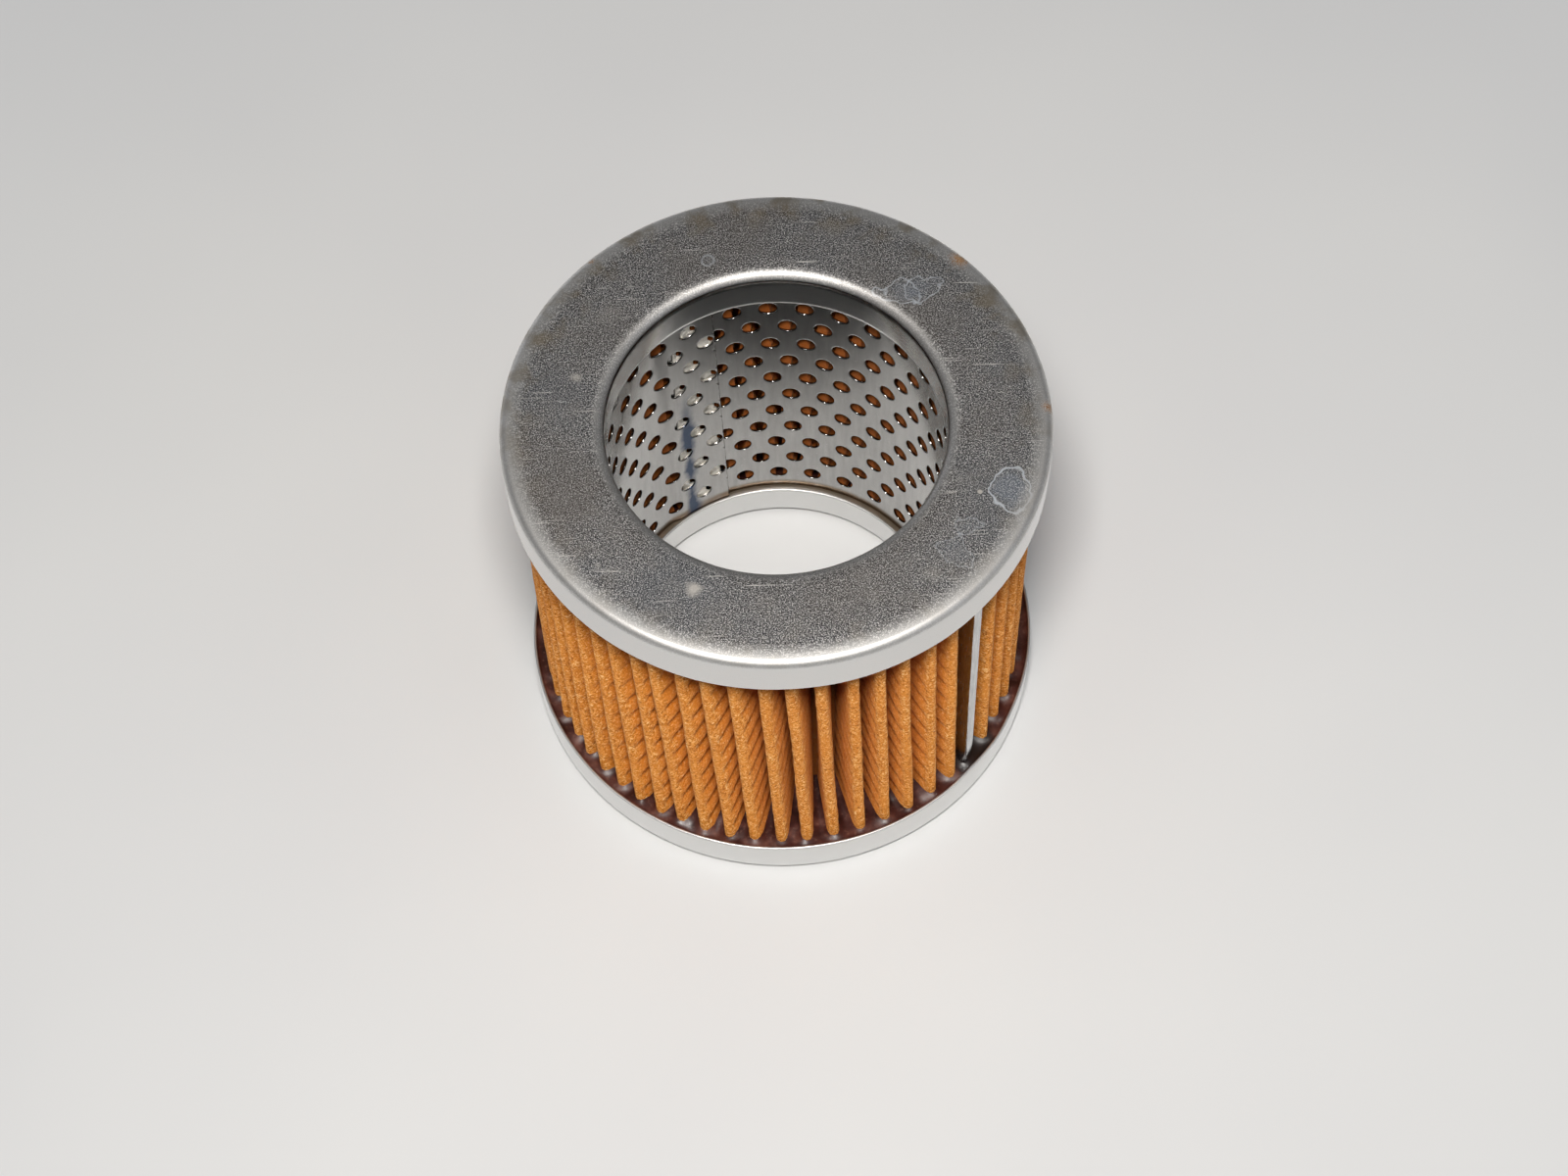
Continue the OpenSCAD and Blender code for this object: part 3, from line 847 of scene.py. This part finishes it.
def section(z):
    """The folded strip's middle line at one height, as points with a ridge direction each."""
    inner, outer, _, across = seam_geometry(z)
    folds, roots = [], []
    for k in range(pleats + 1):
        if k % pleats == 0:
            folds.append((inner, seam_bend))
        else:
            reach = tip_r - fold_out - paper_t / 2 - 0.15
            reach += 0.28 * ripple(k * 2.1, z / 40, seed=5)
            folds.append((flat_point(reach, tip_angle(k, z)), fold_out))
    for k in range(pleats):
        reach = root_r + 0.9 + 0.12 * ripple(k * 1.9, seed=6)
        roots.append(flat_point(reach, root_angle(k)))

    def leg(k, root, side):
        """The direction square to the leg on one side of outer fold k, in radians."""
        centre, bend = folds[k]
        line = centre - root
        lean = math.asin((bend + fold_in) / line.length)
        base = math.atan2(centre.y, centre.x)
        return angle_near(math.atan2(line.y, line.x), base) + side * (math.pi / 2 + lean)

    def near_tip(k, root, angle):
        """A point on a leg, a little way in from its outer fold."""
        start = folds[k][0] + turned(angle) * folds[k][1]
        end = root - turned(angle) * fold_in
        return start.lerp(end, min(0.5, ridge_start / (end - start).length))

    # each entry: point, direction square to the paper, how much the ridges show there
    points = [(outer + across * seam_bend, across, 0.0),
              (inner + across * seam_bend, across, shows_in_clip)]
    for k in range(pleats):
        root = roots[k]
        out_angle = leg(k, root, 1)
        next_angle = angle_near(leg(k + 1, root, -1), out_angle)
        points.append((near_tip(k, root, out_angle), turned(out_angle), 1.0))
        for angle in (out_angle, next_angle):
            points.append((root - turned(angle) * fold_in, turned(angle), shows_on_root))
        if k + 1 < pleats:
            centre, bend = folds[k + 1]
            points.append((near_tip(k + 1, root, next_angle), turned(next_angle), 1.0))
            leave = leg(k + 1, roots[k + 1], 1)
            sweep = (leave - next_angle) % TURN
            for j in range(fold_steps + 1):
                way = turned(next_angle + sweep * j / fold_steps)
                show = 0.0 if 0 < j < fold_steps else shows_beside_tip
                points.append((centre + way * bend, way, show))
    root = roots[-1]
    end_angle = leg(pleats, root, -1)
    points.append((near_tip(pleats, root, end_angle), turned(end_angle), 1.0))
    points.append((inner - across * seam_bend, -across, shows_in_clip))
    points.append((outer - across * seam_bend, -across, 0.0))
    return points


def make_paper(material):
    """A flat grid, a column for each point of the section, folded into pleats."""
    # the rows stand close together where the paper shows and far apart inside the potting
    shown_low, shown_high = potting_level - 1.2, height - potting_level + 1.2
    shown = ridge_levels - 2
    levels = [end_z]
    levels += [shown_low + (shown_high - shown_low) * j / shown for j in range(shown + 1)]
    levels += [end_z + cut_len]
    sections = [section(z) for z in levels]
    count = len(sections[0])
    bm = bmesh.new()
    bmesh.ops.create_grid(bm, x_segments=count - 1, y_segments=ridge_levels, size=0.5)
    # fold the flat sheet, and emboss the ridges that hold the pleats apart
    for vert in bm.verts:
        i = round((vert.co.x + 0.5) * (count - 1))
        j = round((vert.co.y + 0.5) * ridge_levels)
        point, way, show = sections[j][i]
        z = levels[j]
        turn = TURN * (z + 0.5 * ripple(point.x / 9, point.y / 9, seed=9)) / ridge_pitch
        show *= crispness(math.degrees(math.atan2(point.x, -point.y)))
        rise = ridge_rise * show * (math.sin(turn) + 0.4 * math.sin(2 * turn + 0.9))
        rise += 0.05 * ripple(point.x / 3, point.y / 3, z / 3, seed=7)
        flat = point + way * rise
        vert.co = Vector((flat.x, flat.y, z)) * MM
    piece = place_piece(bm, "pleated_filter_paper", material, "filter_paper",
                        "pleated_paper", limit=75)
    wall = piece.modifiers.new("paper", "SOLIDIFY")
    wall.thickness = paper_t * MM
    wall.offset = 0
    wall.use_even_offset = False
    return piece


# ---- folded clip
clip_grip = 6.6
# the clip's front is nearly flat, with a corner this deep and this wide on each side, and
# stands this far out from the paper's two ends
nose_depth = 0.35
nose_width = 0.32
nose_out = 0.22
clip_levels = 24


def make_clip(material):
    """The strip's outline, drawn up to its length and bent to follow the seam."""
    bm = bmesh.new()
    half = paper_t + 0.05 + clip_sheet / 2
    # the strip's middle line: out along one side, round the front, and back
    path = ((-clip_grip, half), (-nose_depth, half), (0.0, half - nose_width),
            (0.0, nose_width - half), (-nose_depth, -half), (-clip_grip, -half))
    edges = line_of_points(bm, [Vector((x, y, 0)) * MM for x, y in path])[1]
    for _ in range(clip_levels):
        verts, edges = extruded(bm, edges)
        bmesh.ops.translate(bm, vec=UP * cut_len / clip_levels * MM, verts=verts)
    folds = [e for e in bm.edges if len(e.link_faces) == 2 and e.calc_face_angle(0) > 0.5]
    bmesh.ops.bevel(bm, geom=folds, offset=0.12 * MM, segments=3, profile=0.5,
                    affect="EDGES", material=-1)
    for vert in bm.verts:
        z = vert.co.z / MM + end_z
        _, outer, along, across = seam_geometry(z)
        bow = 0.10 * ripple(z / 14, seed=12)
        flat = outer + along * (vert.co.x / MM + nose_out)
        flat += across * (vert.co.y / MM * (1 - 0.12 * seam_tuck(z)) + bow)
        vert.co = Vector((flat.x, flat.y, z)) * MM
    piece = place_piece(bm, "folded_seam_clip", material, "clip_steel", "seam_clip", limit=50)
    wall = piece.modifiers.new("strip", "SOLIDIFY")
    wall.thickness = clip_sheet * MM
    wall.offset = 0
    edge = piece.modifiers.new("sheared_edge", "BEVEL")
    edge.width = 0.05 * MM
    edge.segments = 2
    edge.limit_method = "ANGLE"
    edge.angle_limit = math.radians(60)
    return piece


# ---- potting
# the liquid surface before it pools, below the CAD's level, and its clearance from the cap
surface = potting_level - 0.35
clearance = 0.02
# the surface rises no higher than this, and the paper is looked for in sectors this wide
rise_limit = 1.1
sector = 4


def distance_to(point, a, b):
    """Distance from a point to the line between a and b."""
    line = b - a
    t = max(0.0, min(1.0, (point - a).dot(line) / line.length_squared))
    return (point - (a + line * t)).length


def paper_by_sector(z):
    """The pieces of the paper's line at one height, kept by the sector they lie in."""
    line = [point for point, _, _ in section(z)]
    sectors = {}
    for a, b in zip(line, line[1:]):
        middle = (a + b) / 2
        key = int(math.degrees(math.atan2(middle.x, -middle.y)) // sector) % (360 // sector)
        sectors.setdefault(key, []).append((a, b))
    return sectors


def make_potting(name, material, top):
    """A ring cast round the paper's end, made for the lower cap; the top is turned over."""
    bm = bmesh.new()
    base = sheet_t + clearance
    r_in, r_out = bore_r + sheet_t + clearance, cap_r - sheet_t - clearance
    # rings across the surface, closest together where the outer folds stand
    radii = [r_in, r_in + 0.3, pattern_r, core_r + 0.1, 30.9, 32, 33.5, 35, 36.5, 38,
             39.5, 40.7, 41.7, 42.5, 43.1, 43.6, 44.0, 44.4, 44.8, 45.1, 45.35, r_out]
    profile = [(r, surface) for r in radii]
    profile += [(r_out, 3.5), (r_out, base + 0.85), (r_out - 0.25, base + 0.25),
                (r_out - 0.85, base), (38, base), (r_in + 1.4, base), (r_in + 0.4, base + 0.4),
                (r_in, base + 1.4), (r_in, 4.0)]
    spun(bm, profile, 696)
    paper = paper_by_sector(height - potting_level if top else potting_level)
    seed = 20.0 if top else 30.0
    for vert in bm.verts:
        r, a, z = polar_of(vert.co)
        if abs(z - surface) > 0.01:
            continue
        point = flat_point(r, a)
        key = int(a // sector)
        near = [ends for side in (-1, 0, 1)
                for ends in paper.get((key + side) % (360 // sector), [])]
        close = min([distance_to(point, p, q) for p, q in near] + [9.0])
        # it wets the paper and both walls, and slumps between them
        climb = 0.55 * math.exp(-max(0.0, close - 0.25) / 0.7)
        climb += 0.45 * math.exp(-(r_out - r) / 0.6) + 0.3 * math.exp(-(r - r_in) / 0.3)
        slump = 0.45 * ripple(point.x / 5, point.y / 5, seed=seed)
        slump += 0.20 * ripple(point.x / 2.2, point.y / 2.2, seed=seed + 1)
        rise = min(climb + slump - 0.25, rise_limit)
        if r < pattern_r + 0.02:
            # squeezed up between the collar and the tube, a little higher on the tube
            rise = collar_h - 0.2 - surface + 0.5 * ((r - r_in) / (pattern_r - r_in)) ** 2
            rise += 0.12 * round_ripple(a, 6.0, seed + 2)
        vert.co.z += rise * MM
    if top:
        turn_over(bm)
    node = "top_potting" if top else "bottom_potting"
    return place_piece(bm, name, material, "potting", node, limit=60)


# ---- the element
tinplate = tinplate_cap_material()
plastisol = plastisol_material()
make_cap("top_pressed_cap", tinplate, True)
make_cap("bottom_pressed_cap", tinplate, False)
make_core_tube(core_sheet_material())
make_paper(filter_paper_material())
make_clip(clip_steel_material())
make_potting("top_plastisol_ring", plastisol, True)
make_potting("bottom_plastisol_ring", plastisol, False)


# ---- floor, light and camera
# in metres: from the floor's middle to its sides, and the point that the lamps face
floor_half = 12.0
lit_point = Vector((0, 0, 0.04))


def make_floor():
    """A square floor at height 0, not attached to the element's body."""
    bm = bmesh.new()
    bmesh.ops.create_grid(bm, x_segments=1, y_segments=1, size=floor_half)
    mesh = bpy.data.meshes.new("floor")
    bm.to_mesh(mesh)
    bm.free()
    floor = bpy.data.objects.new("floor", mesh)
    mesh.materials.append(floor_material())
    bpy.context.scene.collection.objects.link(floor)


def soft_light(name, at, size, watts, colour):
    """A square soft light that faces the element; its place and size are in metres."""
    data = bpy.data.lights.new(name, "AREA")
    data.size = size
    data.energy = watts
    data.color = tone(colour)[:3]
    light = bpy.data.objects.new(name, data)
    light.location = at
    light.rotation_euler = (lit_point - Vector(at)).to_track_quat("-Z", "Y").to_euler()
    bpy.context.scene.collection.objects.link(light)


make_floor()
soft_light("key", (-0.013, -0.238, 0.65), 0.13, 4.35, "fffbf6")
soft_light("fill", (0.8, -0.45, 0.6), 0.6, 0.8, "f2f6ff")
soft_light("rear", (-0.62, 0.85, 0.22), 0.5, 0.5, "f6f9ff")

world = bpy.data.worlds.new("studio")
bpy.context.scene.world = world
world.use_nodes = True
connect(world.node_tree, world.node_tree.nodes["Background"],
        {"Color": tone("dfe3e8"), "Strength": 0.17})

camera_data = bpy.data.cameras.new("camera")
camera_data.lens = 72.93
camera_data.sensor_width = 36.0
camera_data.clip_start = 0.01
camera = bpy.data.objects.new("camera", camera_data)
# the camera stands in front of the bore, looks down into it, and is tilted a little
camera_at = Vector((0.00058, -0.278814, 0.527295))
camera_top = Vector((0.02746837, 0.87545944, 0.48251037))
look = Vector((0.0, 0.4826925, -0.8757899)).normalized()
right = look.cross(camera_top).normalized()
up = right.cross(look)
facing = Matrix((right, up, -look)).transposed().to_4x4()
camera.matrix_world = Matrix.Translation(camera_at) @ facing
bpy.context.scene.collection.objects.link(camera)
bpy.context.scene.camera = camera
bpy.context.scene.view_settings.view_transform = "Standard"
